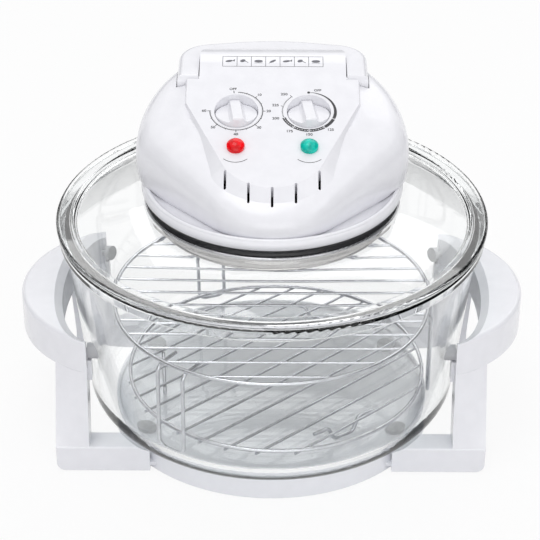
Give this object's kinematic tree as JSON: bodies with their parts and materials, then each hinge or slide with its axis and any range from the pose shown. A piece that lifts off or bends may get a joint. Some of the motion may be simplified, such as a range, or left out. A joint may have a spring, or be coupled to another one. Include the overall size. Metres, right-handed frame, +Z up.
{
  "type": "halogen oven",
  "caption": "Countertop halogen oven: glass bowl on a handled stand, wire racks and a glass lift-off lid with a control head, knobs, fan and folding handle.",
  "frame": {"origin": "middle of the stand on the table, under the bowl's axis", "axes": "+Z up along the bowl's axis, -Y towards the user where the control panel faces, +X to the user's right"},
  "size_m": [0.4032, 0.34, 0.2915],
  "materials": {
    "white_plastic": "smooth moulded gloss",
    "clear_glass": "clear, polished",
    "chrome": "polished",
    "steel": "satin",
    "plated_wire": "plated wire",
    "aluminium": "stamped sheet",
    "black_rubber": "matte",
    "grey_rubber": "matte",
    "red_lens": "translucent",
    "green_lens": "translucent",
    "grey_plastic": "matte",
    "lamp_glass": "quartz tube",
    "ceramic": "unglazed",
    "painted_steel": "satin"
  },
  "bodies": {
    "stand": {"base_tray": "white_plastic", "left_side_frame": "white_plastic", "right_side_frame": "white_plastic", "bowl_bumpers": "grey_rubber", "bowl_rest_pads": "grey_rubber", "rubber_feet": "grey_rubber", "stand_screws": "steel"},
    "bowl": {"glass_bowl": "clear_glass"},
    "high_rack": {"high_rack_grid": "plated_wire", "high_rack_legs": "plated_wire"},
    "low_rack": {"low_rack_grid": "plated_wire", "low_rack_feet": "plated_wire"},
    "lid": {"glass_lid": "clear_glass", "lid_trim_ring": "steel", "lid_gasket": "black_rubber", "lower_housing": "white_plastic", "chrome_skirt": "chrome", "lamp_guard": "chrome", "upper_cover": "white_plastic", "power_lens": "red_lens", "heat_lens": "green_lens", "cord_gland": "black_rubber", "timer_box": "grey_plastic", "thermostat_box": "grey_plastic", "halogen_lamp": "lamp_glass", "lamp_holders": "ceramic", "motor": "painted_steel", "handle_pins": "steel"},
    "handle": {"carrying_handle": "white_plastic"},
    "timer": {"timer_knob": "white_plastic", "timer_shaft": "grey_plastic"},
    "thermostat": {"thermostat_knob": "white_plastic", "thermostat_shaft": "grey_plastic"},
    "fan": {"motor_shaft": "steel", "hot_air_fan": "aluminium", "cooling_fan": "aluminium"}
  },
  "joints": [
    {"name": "bowl_lift", "type": "slide", "parent": "stand", "child": "bowl", "axis": [0, 0, 1], "range_m": [0, 0.115]},
    {"name": "high_rack_lift", "type": "slide", "parent": "bowl", "child": "high_rack", "axis": [0, 0, 1], "range_m": [0, 0.06]},
    {"name": "low_rack_lift", "type": "slide", "parent": "bowl", "child": "low_rack", "axis": [0, 0, 1], "range_m": [0, 0.05]},
    {"name": "lid_lift", "type": "slide", "parent": "bowl", "child": "lid", "axis": [0, 0, 1], "range_m": [0, 0.1]},
    {"name": "handle_hinge", "type": "hinge", "parent": "lid", "child": "handle", "pos_m": [0, 0.0425, 0.27775], "axis": [1, 0, 0], "range_deg": [0, 90]},
    {"name": "timer_turn", "type": "hinge", "parent": "lid", "child": "timer", "pos_m": [-0.02775, -0.0014, 0.2704], "axis": [0, 0, -1], "range_deg": [0, 270]},
    {"name": "thermostat_turn", "type": "hinge", "parent": "lid", "child": "thermostat", "pos_m": [0.02775, -0.0014, 0.2704], "axis": [0, 0, -1], "range_deg": [0, 320]},
    {"name": "fan_spin", "type": "hinge", "parent": "lid", "child": "fan", "pos_m": [0, 0, 0.22], "axis": [0, 0, 1], "continuous": true}
  ]
}
